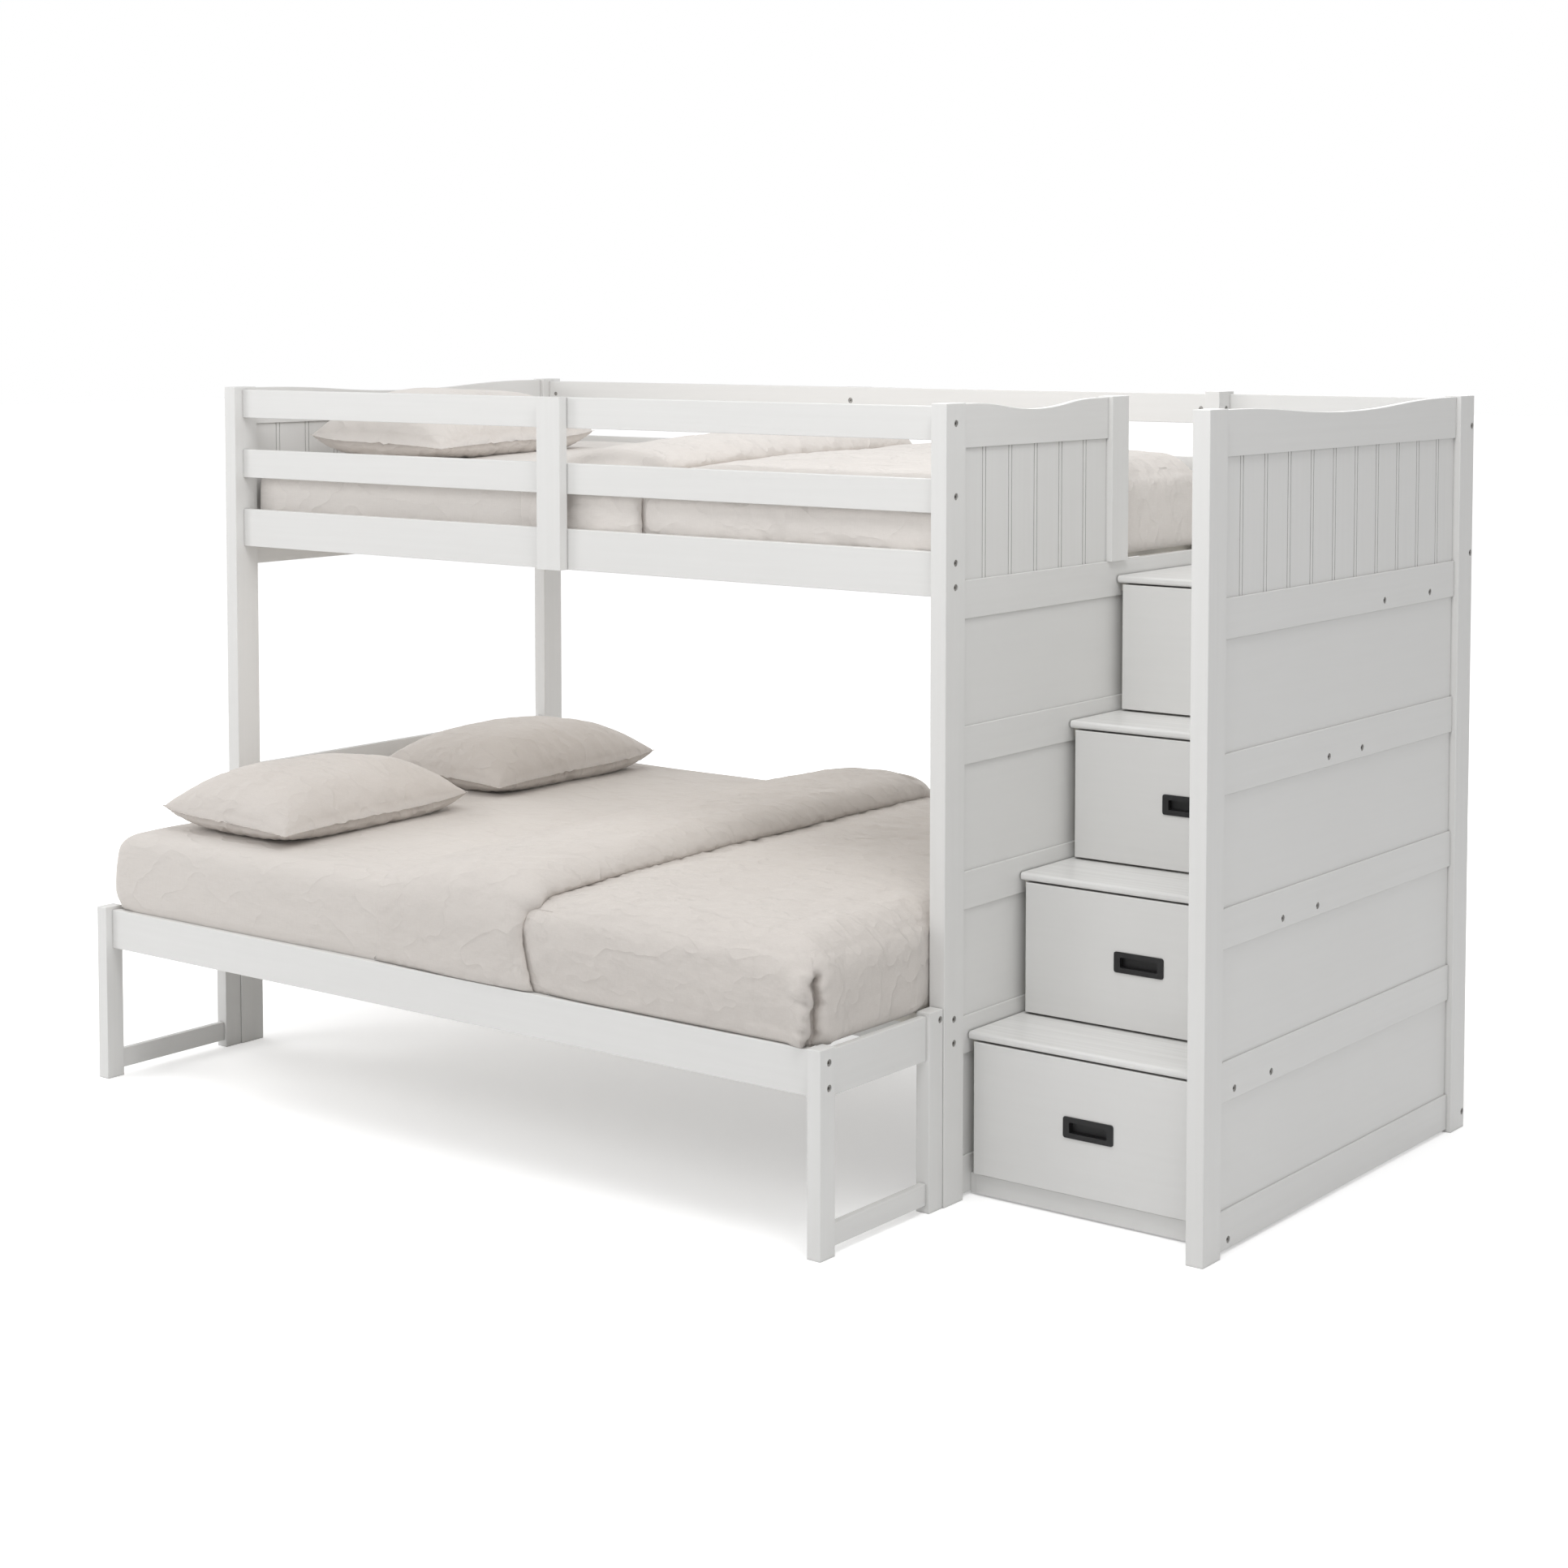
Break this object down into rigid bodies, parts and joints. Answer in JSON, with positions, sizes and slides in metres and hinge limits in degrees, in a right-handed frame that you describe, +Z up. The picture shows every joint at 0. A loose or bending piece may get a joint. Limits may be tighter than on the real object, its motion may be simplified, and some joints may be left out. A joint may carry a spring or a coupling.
{
  "type": "bunk bed with stairs",
  "caption": "Wooden bunk bed with a wider lower bed, panelled end frames and a staircase of drawers leading to the upper bunk.",
  "frame": {"origin": "on the floor below the middle of the whole bed's outline", "axes": "+X along the bed towards the stairs, +Y from the front to the back, +Z up"},
  "size_m": [2.553, 1.49, 1.52],
  "materials": {
    "white_lacquer": "satin white lacquer on solid wood and board",
    "tread_lacquer": "satin white lacquer with the grain faintly showing",
    "hidden_wood": "white painted plain wood",
    "black_plastic": "matte black moulding",
    "steel": "dull zinc-grey steel",
    "sheet_linen": "greige fitted sheet",
    "duvet_linen": "greige linen duvet cover",
    "pillow_linen": "greige linen pillowcase"
  },
  "bodies": {
    "bed": {"back_guard_rails": "white_lacquer", "barrel_nuts": "steel", "connector_bolts": "steel", "corner_blocks": "hidden_wood", "drawer_runners": "hidden_wood", "extension_end_rails": "white_lacquer", "extension_front_rail": "white_lacquer", "extension_legs": "white_lacquer", "extension_slats": "hidden_wood", "front_guard_rails": "white_lacquer", "gate_post": "white_lacquer", "guard_uprights": "white_lacquer", "inner_back_post": "white_lacquer", "inner_bead_panel": "white_lacquer", "inner_cross_rails": "white_lacquer", "inner_flat_panels": "white_lacquer", "inner_front_post": "white_lacquer", "inner_top_rail": "white_lacquer", "left_back_post": "white_lacquer", "left_bead_panel": "white_lacquer", "left_cross_rails": "white_lacquer", "left_front_post": "white_lacquer", "left_top_rail": "white_lacquer", "lower_back_pillow": "pillow_linen", "lower_duvet": "duvet_linen", "lower_front_pillow": "pillow_linen", "lower_mattress": "sheet_linen", "lower_side_rails": "white_lacquer", "lower_slats": "hidden_wood", "outer_back_post": "white_lacquer", "outer_bead_panel": "white_lacquer", "outer_cross_rails": "white_lacquer", "outer_flat_panels": "white_lacquer", "outer_front_post": "white_lacquer", "outer_top_rail": "white_lacquer", "plinth": "white_lacquer", "slat_ledges": "hidden_wood", "stair_back_rails": "white_lacquer", "tread_1": "tread_lacquer", "tread_2": "tread_lacquer", "tread_3": "tread_lacquer", "tread_4": "tread_lacquer", "tread_cleats": "hidden_wood", "upper_duvet": "duvet_linen", "upper_mattress": "sheet_linen", "upper_pillow": "pillow_linen", "upper_side_rails": "white_lacquer", "upper_slats": "hidden_wood"},
    "drawer_1": {"drawer_1_front": "white_lacquer", "drawer_1_box": "hidden_wood", "drawer_1_pull": "black_plastic"},
    "drawer_2": {"drawer_2_front": "white_lacquer", "drawer_2_box": "hidden_wood", "drawer_2_pull": "black_plastic"},
    "drawer_3": {"drawer_3_front": "white_lacquer", "drawer_3_box": "hidden_wood", "drawer_3_pull": "black_plastic"},
    "drawer_4": {"drawer_4_front": "white_lacquer", "drawer_4_box": "hidden_wood", "drawer_4_pull": "black_plastic"}
  },
  "joints": [
    {"name": "drawer_1_slide", "type": "slide", "parent": "bed", "child": "drawer_1", "axis": [0, -1, 0], "range_m": [0, 0.28]},
    {"name": "drawer_2_slide", "type": "slide", "parent": "bed", "child": "drawer_2", "axis": [0, -1, 0], "range_m": [0, 0.28]},
    {"name": "drawer_3_slide", "type": "slide", "parent": "bed", "child": "drawer_3", "axis": [0, -1, 0], "range_m": [0, 0.28]},
    {"name": "drawer_4_slide", "type": "slide", "parent": "bed", "child": "drawer_4", "axis": [0, -1, 0], "range_m": [0, 0.28]}
  ]
}
